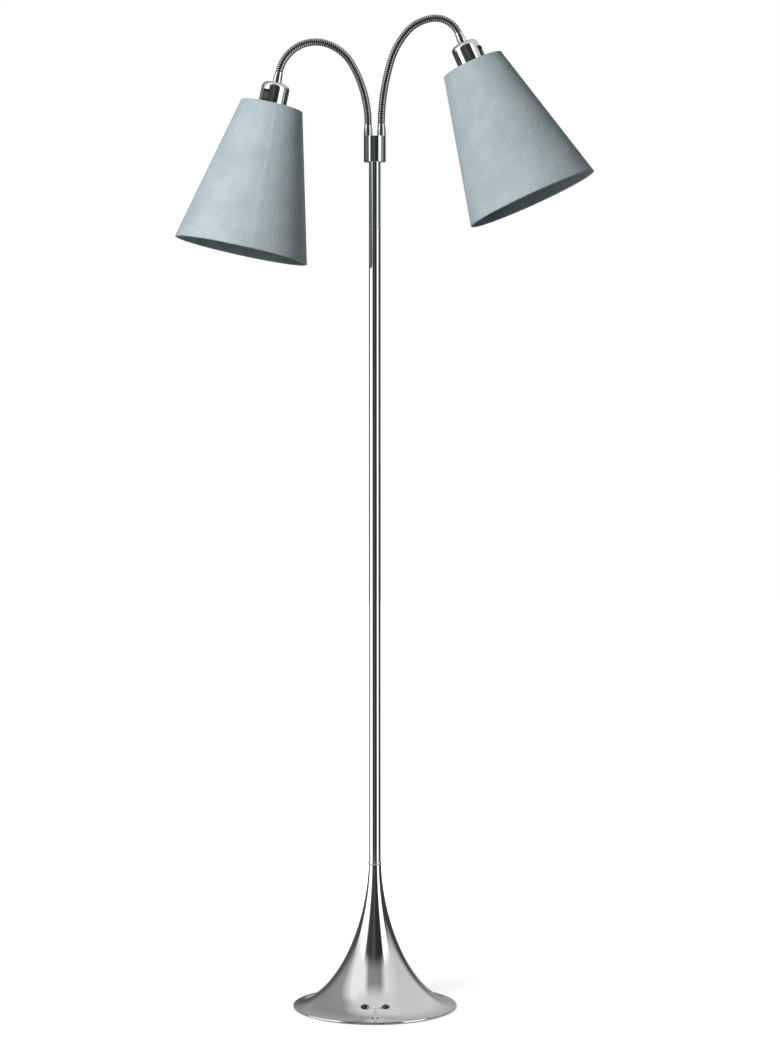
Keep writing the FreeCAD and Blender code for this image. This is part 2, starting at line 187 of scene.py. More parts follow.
# the low bands reach higher in front of the lamp than behind it
in_front = math_node(studio, "MULTIPLY", looking.outputs["Y"], -0.6)
in_front = math_node(studio, "MAXIMUM", in_front, 0.0)
raised = math_node(studio, "SUBTRACT", looking.outputs["Z"], in_front)
raised = ramp(studio, raised, [(0.0, 0.0), (0.16, 0.0), (0.36, 1.0)])
overhead = ramp(studio, looking.outputs["Z"], [(0.0, 0.0), (0.86, 0.0), (0.97, 1.0)])
walls = node(studio, "ShaderNodeMix", {0: raised, 6: low_bands, 7: high_bands},
             data_type="RGBA")
around = node(studio, "ShaderNodeMix",
              {0: overhead, 6: walls.outputs[2], 7: (0.7, 0.7, 0.7, 1.0)}, data_type="RGBA")
studio_rays = node(studio, "ShaderNodeLightPath")
softened = node(studio, "ShaderNodeMapRange", {
    "Value": studio_rays.outputs["Is Diffuse Ray"], "To Min": 1.0, "To Max": CLOTH_LIGHT_SHARE})
studio_light = node(studio, "ShaderNodeBackground", {
    "Color": around.outputs[2], "Strength": softened.outputs["Result"]})
studio_white = node(studio, "ShaderNodeBackground", {
    "Color": (1.0, 1.0, 1.0, 1.0), "Strength": 1.0})
studio_mix = node(studio, "ShaderNodeMixShader", {
    0: studio_rays.outputs["Is Camera Ray"], 1: studio_light.outputs[0],
    2: studio_white.outputs[0]})
node(studio, "ShaderNodeOutputWorld", {"Surface": studio_mix.outputs[0]})


def soft_lamp(name, place, aim, size, power):
    """A square soft lamp that lights cloth and floor but doesn't show in plating."""
    data = bpy.data.lights.new(name, "AREA")
    data.size = size
    data.energy = power
    lamp = bpy.data.objects.new(name, data)
    lamp.location = place
    lamp.rotation_euler = (Vector(aim) - Vector(place)).to_track_quat("-Z", "Y").to_euler()
    lamp.visible_glossy = False
    bpy.context.scene.collection.objects.link(lamp)


soft_lamp("left_key", (-1.16, -1.62, 1.70), (-0.1, 0.0, 1.1), 0.5, 44.0)
soft_lamp("right_fill", (1.6, -1.6, 2.6), (0.2, 0.0, 1.1), 1.2, 5.0)
soft_lamp("back_fill", (0.5, 3.0, 1.6), (0.0, 0.0, 1.0), 1.6, 30.0)
soft_lamp("overhead", (-0.3, -0.2, 3.2), (0.0, 0.0, 0.0), 2.4, 9.0)


# ------------------------------------------------------------------ foot
# The foot is sheet steel spun over a former into a trumpet bell, with a small turned lip, then
# polished and chrome plated. A cast-iron weight sits inside it on a steel plate with a felt pad,
# and a lamp tube and nut draw them together from below.

MM = 0.001


def plating(name, tint, dullest, along_axis):
    """Bright chrome: faint polishing lines, a little haze and uneven gloss."""
    material = new_material(name)
    place = node(material, "ShaderNodeTexCoord").outputs["Object"]
    haze = node(material, "ShaderNodeTexNoise", {"Vector": place, "Scale": 14.0, "Detail": 5.0})
    stretch = (900.0, 900.0, 30.0) if along_axis else (40.0, 40.0, 1800.0)
    drawn = node(material, "ShaderNodeMapping", {"Vector": place, "Scale": stretch})
    lines = node(material, "ShaderNodeTexNoise", {
        "Vector": drawn.outputs[0], "Scale": 1.0, "Detail": 3.0})
    dark = tuple(0.955 * c for c in tint)
    colour = ramp(material, haze.outputs["Fac"], [(0.3, dark), (0.75, tint)])
    gloss = ramp(material, haze.outputs["Fac"], [(0.35, 0.035), (0.8, dullest)])
    bump = node(material, "ShaderNodeBump", {
        "Height": lines.outputs["Fac"], "Strength": 0.002 if along_axis else 0.004,
        "Distance": 0.00004})
    shader = node(material, "ShaderNodeBsdfPrincipled", {
        "Base Color": colour, "Metallic": 1.0, "Roughness": gloss, "Normal": bump.outputs[0]})
    node(material, "ShaderNodeOutputMaterial", {"Surface": shader.outputs[0]})
    return material


def lathe(name, outline, sides, material, sharp=32.0, place=None):
    """A piece turned about its own Z from (radius, z) corners in millimetres."""
    points, faces = [], []
    rows = len(outline)
    for radius, z in outline:
        for k in range(sides):
            a = 2 * math.pi * k / sides
            points.append((radius * math.cos(a) * MM, radius * math.sin(a) * MM, z * MM))
    for row in range(rows - 1):
        for k in range(sides):
            n = (k + 1) % sides
            low_row, high_row = row * sides, (row + 1) * sides
            faces.append((low_row + k, low_row + n, high_row + n, high_row + k))
    if outline[0] == outline[-1]:
        points = points[:-sides]
        faces = [tuple(i % len(points) for i in f) for f in faces]
    else:
        if outline[0][0] > 0.0:
            faces.append(tuple(reversed(range(sides))))
        if outline[-1][0] > 0.0:
            faces.append(tuple((rows - 1) * sides + k for k in range(sides)))
    return solid(name, points, faces, material, sharp, place)


def solid(name, points, faces, material, sharp=32.0, place=None, layout=None):
    """A smooth-shaded mesh object with its normals outwards and its hard edges kept."""
    mesh = bpy.data.meshes.new(name)
    mesh.from_pydata(points, [], faces)
    if layout is not None:
        corners = mesh.uv_layers.new(name="layout")
        flat = [value for face in layout for corner in face for value in corner]
        corners.data.foreach_set("uv", flat)
    if place is not None:
        mesh.transform(place)
    work = bmesh.new()
    work.from_mesh(mesh)
    bmesh.ops.remove_doubles(work, verts=work.verts, dist=1e-7)
    bmesh.ops.dissolve_degenerate(work, dist=1e-8, edges=work.edges)
    bmesh.ops.recalc_face_normals(work, faces=work.faces)
    work.to_mesh(mesh)
    work.free()
    mesh.polygons.foreach_set("use_smooth", [True] * len(mesh.polygons))
    mesh.set_sharp_from_angle(angle=math.radians(sharp))
    mesh.materials.append(material)
    made = bpy.data.objects.new(name, mesh)
    bpy.context.scene.collection.objects.link(made)
    return made


def stands_for(piece, body, slot, *nodes):
    """The piece moves with the body and is shown in place of the nodes."""
    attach(piece, body)
    if nodes:
        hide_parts(*nodes)


FOOT_RADIUS = 112.0
FOOT_TOP = 198.5
FOOT_NECK = 8.6
FOOT_LIP = 4.0
FOOT_CURVE = 0.615
FOOT_STEPS = 90

chrome_turned = plating("chrome_turned", (0.86, 0.87, 0.88), 0.075, False)
chrome_drawn = plating("chrome_drawn", (0.84, 0.85, 0.86), 0.070, True)


def foot_outline():
    """The bell from the neck down to the lip, then under and back up inside."""
    outline = [(5.2, FOOT_TOP)]
    for k in range(FOOT_STEPS + 1):
        out = (k / FOOT_STEPS) ** 2.2
        rise = (1.0 - out ** FOOT_CURVE) ** (1.0 / FOOT_CURVE)
        radius = FOOT_NECK + (FOOT_RADIUS - FOOT_NECK) * out
        outline.append((radius, FOOT_LIP + (FOOT_TOP - FOOT_LIP) * rise))
    outline += [(112.3, 3.9), (112.5, 3.5), (112.5, 1.9), (112.3, 1.6), (110.0, 1.5), (109.6, 2.4)]
    outline += [(94.0, 5.0), (60.0, 28.0), (34.0, 70.0), (18.0, 120.0), (5.2, 150.0), (5.2, FOOT_TOP)]
    return outline


stands_for(lathe("spun_foot", foot_outline(), 192, chrome_turned), "stand", "chrome", "trumpet_base")


def pressed_felt():
    """Black felt with short fibres and a faint unevenness."""
    material = new_material("black_felt")
    place = node(material, "ShaderNodeTexCoord").outputs["Object"]
    fibres = node(material, "ShaderNodeTexNoise", {
        "Vector": place, "Scale": 900.0, "Detail": 8.0})
    patches = node(material, "ShaderNodeTexNoise", {
        "Vector": place, "Scale": 40.0, "Detail": 3.0})
    both = math_node(material, "MULTIPLY", fibres.outputs["Fac"], patches.outputs["Fac"])
    colour = ramp(material, both, [(0.15, (0.020, 0.020, 0.022)), (0.45, (0.065, 0.065, 0.070))])
    bump = node(material, "ShaderNodeBump", {
        "Height": fibres.outputs["Fac"], "Strength": 0.6, "Distance": 0.0004})
    shader = node(material, "ShaderNodeBsdfPrincipled", {
        "Base Color": colour, "Roughness": 0.95, "Sheen Weight": 0.3, "Normal": bump.outputs[0]})
    node(material, "ShaderNodeOutputMaterial", {"Surface": shader.outputs[0]})
    return material


def grained(name, low, high, rough, scale, depth, metallic=0.0):
    """A plain hard finish with a fine grain, such as cast iron, bright steel or moulding."""
    material = new_material(name)
    place = node(material, "ShaderNodeTexCoord").outputs["Object"]
    grain = node(material, "ShaderNodeTexNoise", {"Vector": place, "Scale": scale, "Detail": 6.0})
    broad = node(material, "ShaderNodeTexNoise", {
        "Vector": place, "Scale": scale / 25.0, "Detail": 3.0})
    colour = ramp(material, broad.outputs["Fac"], [(0.3, low), (0.7, high)])
    gloss = ramp(material, grain.outputs["Fac"], [(0.3, rough * 0.85), (0.7, rough * 1.15)])
    bump = node(material, "ShaderNodeBump", {
        "Height": grain.outputs["Fac"], "Strength": 0.3, "Distance": depth})
    shader = node(material, "ShaderNodeBsdfPrincipled", {
        "Base Color": colour, "Metallic": metallic, "Roughness": gloss, "Normal": bump.outputs[0]})
    node(material, "ShaderNodeOutputMaterial", {"Surface": shader.outputs[0]})
    return material


def finish_node(name, material):
    """A piece whose solid is right as it is gets its finish only."""
    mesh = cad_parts[name].data
    mesh.materials.clear()
    mesh.materials.append(material)


felt = pressed_felt()
cast_iron = grained("cast_iron", (0.060, 0.058, 0.056), (0.105, 0.100, 0.096),
                    0.75, 420.0, 0.0003)
bright_steel = grained("bright_steel", (0.50, 0.50, 0.51), (0.62, 0.62, 0.63),
                       0.32, 700.0, 0.00003, 1.0)
black_moulding = grained("black_moulding", (0.010, 0.010, 0.011), (0.020, 0.020, 0.021),
                         0.24, 900.0, 0.00003)

finish_node("felt_pad", felt)
finish_node("base_cover_plate", bright_steel)
finish_node("base_ballast", cast_iron)
finish_node("cord_bushing", black_moulding)
for inner_piece in ("ballast_washer", "ballast_nut", "base_threaded_tube", "pole_inserts",
                    "pole_joint_nipple", "collar_nipple", "collar_nut"):
    finish_node(inner_piece, bright_steel)


# ------------------------------------------------------------------ pole
# Two plated steel tubes, screwed together end to end over a hidden nipple, stand on a small
# turned ring. Each tube's edge is broken a little, so that the seam shows as a hairline.

POLE_RADIUS = 8.0
POLE_WALL = 1.0
EDGE_BREAK = 0.22


def plated_tube(name, radius, bore, low, high):
    """A tube with its outer edges broken, as a closed outline."""
    flat = radius - EDGE_BREAK
    outline = [(bore, low), (flat, low), (radius, low + EDGE_BREAK), (radius, high - EDGE_BREAK),
               (flat, high), (bore, high), (bore, low)]
    return lathe(name, outline, 96, chrome_drawn)


def span(cad_node):
    """The lowest and highest point of a solid, in millimetres."""
    low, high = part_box(cad_node)
    return low.z / MM, high.z / MM


for pole_tube in ("lower_pole_tube", "upper_pole_tube"):
    low, high = span(pole_tube)
    piece = plated_tube("plated_" + pole_tube, POLE_RADIUS, POLE_RADIUS - POLE_WALL, low, high)
    stands_for(piece, "stand", "chrome", pole_tube)

low, high = span("neck_ring")
ring_outline = [(5.2, low), (8.6, low), (9.0, low + 0.35), (9.2, low + 0.9), (9.2, high - 1.1),
                (8.9, high - 0.6), (8.35, high - 0.35), (8.3, high), (5.2, high), (5.2, low)]
stands_for(lathe("turned_neck_ring", ring_outline, 96, chrome_turned), "stand", "chrome", "neck_ring")


# ------------------------------------------------------------------ collar
# A short plated cylinder carries both arms. It is turned from bar with crisp edges, and the
# leads are joined in its hollow above a screwed plug.

low, high = span("arm_collar")
COLLAR_BORE = 12.05
COLLAR_ROOF = 11.9
collar_outline = [(COLLAR_BORE, low), (14.7, low), (15.0, low + 0.3), (15.0, high - 0.35),
                  (14.65, high), (0.0, high), (0.0, high - COLLAR_ROOF),
                  (COLLAR_BORE, high - COLLAR_ROOF), (COLLAR_BORE, low)]
collar = lathe("turned_collar", collar_outline, 128, chrome_turned)
stands_for(collar, "stand", "chrome", "arm_collar")
finish_node("collar_plug", chrome_turned)
clear_moulding = grained("clear_moulding", (0.70, 0.70, 0.68), (0.80, 0.80, 0.78),
                         0.3, 500.0, 0.00005)
finish_node("splice_connector", clear_moulding)
lead_cover = grained("lead_cover", (0.72, 0.72, 0.70), (0.80, 0.80, 0.78),
                     0.42, 600.0, 0.00006)
finish_node("supply_lead", lead_cover)


# ------------------------------------------------------------------ gooseneck arms
# Each arm is a hose of two steel wires wound side by side, one round and one wedge-shaped, so it
# stays where it is bent. It is plated, and swaged at both ends into smooth ferrules.
# Its course is drawn in the arm's own upright plane: x outwards, z up, from the collar's top.

# the way an arm's plane faces, the side it stands on, the bend of each hose piece in degrees, and
# the way its switch faces
ARMS = {
    "left": {"turn": 190.0, "side": -1.0, "bends": (15.5, 16.0, 42.0, 48.0, 46.2), "switch": 48.0},
    "right": {"turn": -7.0, "side": 1.0, "bends": (8.8, 8.0, 23.0, 45.0, 71.0), "switch": -14.0},
}
COLLAR_TOP = high
STEM_OFFSET = 9.0
PIECE_LENGTH = 43.0
STEM_FERRULE = 16.0
TIP_FERRULE = 15.0
HOSE_RADIUS = 5.0
WINDING_PITCH = 3.0
WINDING_DEPTH = 0.65
RINGS_PER_TURN = 9
HOSE_SIDES = 28
BLEND_REACH = 0.42 * PIECE_LENGTH
LEAD_RADIUS = 2.0
LEAD_INTO_COLLAR = 11.0      # how far the lead goes on past the stem's ferrule
LEAD_INTO_HEAD = 20.0        # and past the end of the hose


def step_along(station, length, bend):
    """The station a length further on, along an arc that turns by bend degrees."""
    x, z, heading = station
    start, turn = math.radians(heading), math.radians(bend)
    if abs(turn) < 1e-9:
        return (x + length * math.sin(start), z + length * math.cos(start), heading)
    radius = length / turn
    x += radius * (math.cos(start) - math.cos(start + turn))
    z += radius * (math.sin(start + turn) - math.sin(start))
    return (x, z, heading + bend)


def arm_stations(arm):
    """The ends of the hose pieces, from the stem's ferrule to the tip's."""
    stations = [step_along((0.0, 0.0, 0.0), STEM_FERRULE, 0.0)]
    for bend in arm["bends"]:
        stations.append(step_along(stations[-1], PIECE_LENGTH, bend))
    return stations


def hose_station(arm, stations, along):
    """The station this far along the hose from the stem's ferrule, also past its ends."""
    count = len(arm["bends"])
    if along < 0.0:
        return step_along(stations[0], along, 0.0)
    if along > PIECE_LENGTH * count:
        return step_along(stations[-1], along - PIECE_LENGTH * count, 0.0)
    index = min(int(along // PIECE_LENGTH), count - 1)
    within = along - index * PIECE_LENGTH
    return step_along(stations[index], within, arm["bends"][index] * within / PIECE_LENGTH)


def arm_place(arm):
    """From the arm's plane to the lamp, in metres."""
    stem = Vector((arm["side"] * STEM_OFFSET * MM, 0.0, COLLAR_TOP * MM))
    return Matrix.Translation(stem) @ Matrix.Rotation(math.radians(arm["turn"]), 4, "Z")


def station_place(arm, station):
    """From a ring about Z at this station to the lamp."""
    x, z, heading = station
    upright = Matrix.Translation((x * MM, 0.0, z * MM))
    return arm_place(arm) @ upright @ Matrix.Rotation(math.radians(heading), 4, "Y")


def swept(name, arm, stations, start, end, spacing, radius_at, sides, material):
    """A round length of the arm, from start to end along the hose."""
    rings = max(2, int(round((end - start) / spacing)))
    points, faces = [], []
    for ring in range(rings + 1):
        along = start + (end - start) * ring / rings
        place = station_place(arm, hose_station(arm, stations, along))
        for k in range(sides):
            a = 2 * math.pi * k / sides
            radius = radius_at(along, a) * MM
            points.append(place @ Vector((radius * math.cos(a), radius * math.sin(a), 0.0)))
    turns = [(start + (end - start) * ring / rings) / WINDING_PITCH for ring in range(rings + 1)]
    layout = []
    for ring in range(rings):
        for k in range(sides):
            n = (k + 1) % sides
            near, far = ring * sides, (ring + 1) * sides
            faces.append((near + k, near + n, far + n, far + k))
            first, last = k / sides, (k + 1) / sides
            layout.append(((turns[ring], first), (turns[ring], last),
                           (turns[ring + 1], last), (turns[ring + 1], first)))
    faces.append(tuple(reversed(range(sides))))
    faces.append(tuple(rings * sides + k for k in range(sides)))
    layout += [((0.0, 0.0),) * sides, ((0.0, 0.0),) * sides]
    return solid(name, points, faces, material, 60.0, None, layout)


def wound_radius(along, angle):
    """The hose's outside where the round wire stands proud of the wedge wire beside it."""
    phase = (along / WINDING_PITCH - angle / (2 * math.pi)) % 1.0
    crown = math.sqrt(max(0.0, 1.0 - (2.0 * phase - 1.0) ** 2 * 0.96))
    return HOSE_RADIUS - WINDING_DEPTH * (1.0 - crown)


def along_joint(piece, arm, stations, joint):
    """Bakes the piece's placement into its mesh. The places either side of this end of a hose piece
    are worked out, but nothing uses them.
    """
    meeting = joint * PIECE_LENGTH
    for along in (meeting - BLEND_REACH, meeting + BLEND_REACH):
        station_place(arm, hose_station(arm, stations, along)).translation
    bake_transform(piece)


def hose_lengths(count):
    """(joint, start, end) of each shown length, from the middle of one hose piece to the next."""
    lengths = []
    for joint in range(1, count):
        start = 0.0 if joint == 1 else (joint - 0.5) * PIECE_LENGTH
        end = count * PIECE_LENGTH if joint == count - 1 else (joint + 0.5) * PIECE_LENGTH
        lengths.append((joint, start, end))
    return lengths


def ferrule_outline(length):
    """A smooth swaged sleeve, wide at the foot and drawn in over the hose."""
    return [(3.4, 0.0), (5.85, 0.0), (6.0, 0.25), (6.0, 6.0), (5.85, 8.5), (5.45, 11.5),
            (5.32, length - 0.5), (5.15, length - 0.1), (5.0, length), (3.4, length), (3.4, 0.0)]


def wound_wire():
    """Plated wire with painted shade in the gap between its turns, and wear on their crowns."""
    material = new_material("chrome_winding")
    place = node(material, "ShaderNodeTexCoord")
    parts = node(material, "ShaderNodeSeparateXYZ", {0: place.outputs["UV"]})
    turn = math_node(material, "SUBTRACT", parts.outputs["X"], parts.outputs["Y"])
    turn = math_node(material, "FRACT", turn)
    proud = ramp(material, turn, [
        (0.0, 0.0), (0.20, 0.10), (0.36, 1.0), (0.64, 1.0), (0.80, 0.10), (1.0, 0.0)])
    wear = node(material, "ShaderNodeTexNoise", {
        "Vector": place.outputs["Object"], "Scale": 160.0, "Detail": 5.0})
    crown = ramp(material, wear.outputs["Fac"], [
        (0.3, (0.70, 0.70, 0.70)), (0.7, (0.86, 0.86, 0.86))])
    # Towards the gap between turns the colour falls to near black: painted shade in the groove
    # between the wires.
    colour = node(material, "ShaderNodeMix", {0: proud, 6: (0.02, 0.02, 0.02, 1.0), 7: crown},
                  data_type="RGBA")
    gloss = node(material, "ShaderNodeMapRange", {"Value": proud, "To Min": 0.45, "To Max": 0.13})
    scratches = node(material, "ShaderNodeBump", {
        "Height": wear.outputs["Fac"], "Strength": 0.06, "Distance": 0.0001})
    shader = node(material, "ShaderNodeBsdfPrincipled", {
        "Base Color": colour.outputs[2], "Metallic": 1.0, "Roughness": gloss.outputs["Result"],
        "Normal": scratches.outputs[0]})
    node(material, "ShaderNodeOutputMaterial", {"Surface": shader.outputs[0]})
    return material


chrome_winding = wound_wire()
for side, arm in ARMS.items():
    stations = arm_stations(arm)
    count = len(arm["bends"])
    hose_nodes = [side + "_gooseneck_" + str(k + 1) for k in range(count)]
    for joint, start, end in hose_lengths(count):
        piece = swept(side + "_hose_" + str(joint), arm, stations, start, end,
                      WINDING_PITCH / RINGS_PER_TURN, wound_radius, HOSE_SIDES, chrome_winding)
        along_joint(piece, arm, stations, joint)
        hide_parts(*(hose_nodes[joint - 1:joint + 1]))
        lead_start = -STEM_FERRULE - LEAD_INTO_COLLAR if joint == 1 else start
        lead_end = end + LEAD_INTO_HEAD if joint == count - 1 else end
        lead = swept(side + "_lead_" + str(joint), arm, stations, lead_start, lead_end,
                     3.0, lambda along, angle: LEAD_RADIUS, 16, lead_cover)
        along_joint(lead, arm, stations, joint)
        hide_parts(side + "_arm_lead")
    stem = lathe(side + "_plated_stem_ferrule", ferrule_outline(STEM_FERRULE), 64, chrome_drawn,
                 place=arm_place(arm))
    stands_for(stem, "stand", "chrome", side + "_stem_ferrule")


# ------------------------------------------------------------------ lamp heads
# A plated cup with a rounded shoulder hides the screw lampholder and has a black rocker switch
# let into its side. A ring nut on the holder clamps the shade's wire carrier under the cup.

CUP_RADIUS = 19.0
CUP_LENGTH = 50.0
SWITCH_WIDTH = 10.6
SWITCH_TOP = 12.0
SWITCH_LENGTH = 17.0
SWITCH_WALL = 1.3
SWITCH_STANDS_PROUD = 0.9
WINDOW_PLAY = 0.05           # between the cup's window and the switch, all round


def arc_points(centre_r, centre_z, radius, first, last, count):
    """Points on a round stretch of an outline, between two angles in degrees."""
    points = []
    for k in range(count + 1):
        a = math.radians(first + (last - first) * k / count)
        points.append((centre_r + radius * math.cos(a), centre_z + radius * math.sin(a)))
    return points


def head_place(arm):
    """From a head hanging straight down from its cup's top at z = 0 to the lamp."""
    stations = arm_stations(arm)
    x, z, heading = step_along(stations[-1], TIP_FERRULE, 0.0)
    tipped = Matrix.Rotation(math.radians(heading - 180.0), 4, "Y")
    return arm_place(arm) @ Matrix.Translation((x * MM, 0.0, z * MM)) @ tipped


def cup_outline():
    """The cup's side: a flat top, a round shoulder, straight walls and the same again inside."""
    shoulder = arc_points(11.5, -7.5, 7.5, 90.0, 0.0, 14)
    outline = [(5.4, 0.0), (5.6, 0.0), (11.0, 0.0)] + shoulder
    outline += [(CUP_RADIUS, -7.6), (CUP_RADIUS, -CUP_LENGTH + 0.3), (CUP_RADIUS - 0.3, -CUP_LENGTH)]
    inner = CUP_RADIUS - 1.0
    outline += [(inner, -CUP_LENGTH), (inner, -9.0), (10.8, -1.4), (5.4, -1.4), (5.4, 0.0)]
    return outline


def carve(piece, cutter):
    """Cuts the cutter out of the piece and throws the cutter away."""
    cut = piece.modifiers.new("cut", "BOOLEAN")
    cut.operation = "DIFFERENCE"
    cut.solver = "EXACT"
    cut.object = cutter
    bpy.context.view_layer.update()
    shown = piece.evaluated_get(bpy.context.evaluated_depsgraph_get())
    cut_mesh = bpy.data.meshes.new_from_object(shown)
    piece.modifiers.clear()
    piece.data = cut_mesh
    cut_mesh.set_sharp_from_angle(angle=math.radians(32.0))
    bpy.data.objects.remove(cutter)


def block(name, low, high, material, edge=0.0, place=None):
    """A rectangular piece between two corners in millimetres, its edges rounded by edge."""
    points = [(x * MM, y * MM, z * MM)
              for x in (low[0], high[0]) for y in (low[1], high[1]) for z in (low[2], high[2])]
    faces = [(0, 1, 3, 2), (4, 6, 7, 5), (0, 4, 5, 1), (2, 3, 7, 6), (0, 2, 6, 4), (1, 5, 7, 3)]
    made = solid(name, points, faces, material)
    if edge > 0.0:
        work = bmesh.new()
        work.from_mesh(made.data)
        bmesh.ops.bevel(work, geom=work.edges[:], offset=edge * MM, segments=3, affect="EDGES",
                        profile=0.5)
        work.to_mesh(made.data)
        work.free()
        made.data.polygons.foreach_set("use_smooth", [True] * len(made.data.polygons))
        made.data.set_sharp_from_angle(angle=math.radians(40.0))
    if place is not None:
        made.data.transform(place)
    return made


phenolic = grained("phenolic", (0.020, 0.018, 0.017), (0.038, 0.035, 0.033),
                   0.38, 500.0, 0.00006)
spun_brass = grained("spun_brass", (0.60, 0.44, 0.18), (0.72, 0.55, 0.26),
                     0.28, 600.0, 0.00004, 1.0)
cap_metal = grained("cap_metal", (0.62, 0.62, 0.63), (0.70, 0.70, 0.71),
                    0.30, 600.0, 0.00004, 1.0)


def rocker_outline():
    """The key's side: two dished faces that meet in a shallow valley over the pin."""
    reach = SWITCH_LENGTH / 2 - 2.2
    points = [(-2.2, -reach + 1.2), (2.9, -reach), (3.4, -reach + 0.5)]
    for k in range(1, 12):
        t = -1.0 + k / 6.0
        points.append((2.1 + 1.3 * t * t, reach * t * 0.94))
    points += [(3.4, reach - 0.5), (2.9, reach), (-2.2, reach - 1.2)]
    return points


def rocker_key(name, material, place):
    """The key, drawn out from its side to its width, with its edges softened."""
    half = (SWITCH_WIDTH / 2 - 1.7) * MM
    outline = rocker_outline()
    count = len(outline)
    points = [(x * MM, y, z * MM) for y in (-half, half) for x, z in outline]
    faces = [tuple(range(count)), tuple(reversed(range(count, 2 * count)))]
    for k in range(count):
        n = (k + 1) % count
        faces.append((k, n, n + count, k + count))
    made = solid(name, points, faces, material, 40.0)
    soft_edges = made.modifiers.new("edges", "BEVEL")
    soft_edges.width = 0.25 * MM
    soft_edges.segments = 2
    soft_edges.limit_method = "ANGLE"
    made.data.transform(place)
    return made


ROCKER_PIVOT = (17.5, 0.0, -SWITCH_TOP - SWITCH_LENGTH / 2)
ROCKER_REST_TILT = 7.0

for side, arm in ARMS.items():
    head = side + "_head"
    place = head_place(arm)
    facing = place @ Matrix.Rotation(math.radians(arm["switch"]), 4, "Z")
    tip = lathe(side + "_plated_tip_ferrule", ferrule_outline(TIP_FERRULE), 64, chrome_drawn,
                place=place)
    stands_for(tip, head, "chrome", side + "_tip_ferrule")
    cup = lathe(side + "_plated_cup", cup_outline(), 128, chrome_turned, place=place)
    half = SWITCH_WIDTH / 2
    low_end = -SWITCH_TOP - SWITCH_LENGTH
    window = block("window", (10.0, -half - WINDOW_PLAY, low_end - WINDOW_PLAY),
                   (25.0, half + WINDOW_PLAY, -SWITCH_TOP + WINDOW_PLAY),
                   chrome_turned, 0.0, facing)
    carve(cup, window)
    stands_for(cup, head, "chrome", side + "_holder_cup")
    housing = block(side + "_switch_housing", (7.0, -half, low_end),
                    (CUP_RADIUS + SWITCH_STANDS_PROUD, half, -SWITCH_TOP),
                    black_moulding, 0.35, facing)
    well = block("well", (13.0, -half + SWITCH_WALL, low_end + SWITCH_WALL),
                 (30.0, half - SWITCH_WALL, -SWITCH_TOP - SWITCH_WALL),
                 black_moulding, 0.0, facing)
    carve(housing, well)
    stands_for(housing, head, "black_plastic", side + "_switch_body")
    tilt = Matrix.Rotation(math.radians(ROCKER_REST_TILT), 4, "Y")
    swing = facing @ Matrix.Translation(Vector(ROCKER_PIVOT) * MM) @ tilt
    key = rocker_key(side + "_rocker_key", black_moulding, swing)
    stands_for(key, side + "_rocker", "black_plastic", side + "_switch_rocker")
    finish_node(side + "_lampholder", phenolic)
    finish_node(side + "_contact_shell", spun_brass)
    finish_node(side + "_shade_ring_nut", phenolic)
    finish_node(side + "_bulb_cap", cap_metal)


# ------------------------------------------------------------------ bulbs
# An opal bulb with a screw cap sits in each holder, unlit, well inside the shade.

def opal_plastic():
    """Milky, slightly uneven plastic that light sinks into."""
    material = new_material("opal_bulb")
    place = node(material, "ShaderNodeTexCoord").outputs["Object"]
    cloud = node(material, "ShaderNodeTexNoise", {"Vector": place, "Scale": 60.0, "Detail": 3.0})
    colour = ramp(material, cloud.outputs["Fac"], [
        (0.3, (0.80, 0.80, 0.77)), (0.7, (0.86, 0.86, 0.83))])
    gloss = ramp(material, cloud.outputs["Fac"], [(0.3, 0.25), (0.7, 0.34)])
    shader = node(material, "ShaderNodeBsdfPrincipled", {
        "Base Color": colour, "Roughness": gloss, "Subsurface Weight": 0.2,
        "Subsurface Scale": 0.004})
    node(material, "ShaderNodeOutputMaterial", {"Surface": shader.outputs[0]})
    return material


BULB_RADIUS = 18.5
BULB_DOME_TOP = -138.0
BULB_DOME = 12.9


def bulb_outline():
    """A neck that widens out of the cap, a straight side and a flattened dome."""
    outline = [(0.0, -64.0), (12.5, -64.0), (13.0, -65.0), (14.5, -68.5), (16.8, -73.0),
               (18.2, -77.5), (BULB_RADIUS, -82.0), (BULB_RADIUS, BULB_DOME_TOP)]
    for k in range(1, 11):
        a = math.radians(9.0 * k)
        outline.append((BULB_RADIUS * math.cos(a), BULB_DOME_TOP - BULB_DOME * math.sin(a)))
    return outline


opal = opal_plastic()
for side, arm in ARMS.items():
    bulb = lathe(side + "_opal_bulb", bulb_outline(), 72, opal, 40.0, head_place(arm))
    stands_for(bulb, side + "_head", "bulb", side + "_bulb_glass")


# ------------------------------------------------------------------ shades
# Slubby linen-like cloth is laminated to a stiff backing, cut as a flat sector and closed with a
# glued lap at the back. Its edges are folded over white lacquered wire rings.

SHADE_DROP = 31.0
SHADE_HEIGHT = 200.0
SHADE_TOP = 42.5
SHADE_BOTTOM = 91.5
CLOTH_THICKNESS = 0.45
HEM_FOLD = 10.0
WIRE = 1.25
SKIN_DIP = 0.35
LAP_STEP = 0.3
LAP_COLUMNS = 3
CLOTH_SIDES = 160
FOLD_EASE = 1.03             # the fold lies round its wire this much more loosely than it could
WIRE_ROOM = 0.5              # from the wire's outside to the shade's end
TUCK = 5.2                   # how far in the folded cloth has come close to the shade's wall
FOLD_STEPS = 10              # round each wire
SKIN_ROWS = 23


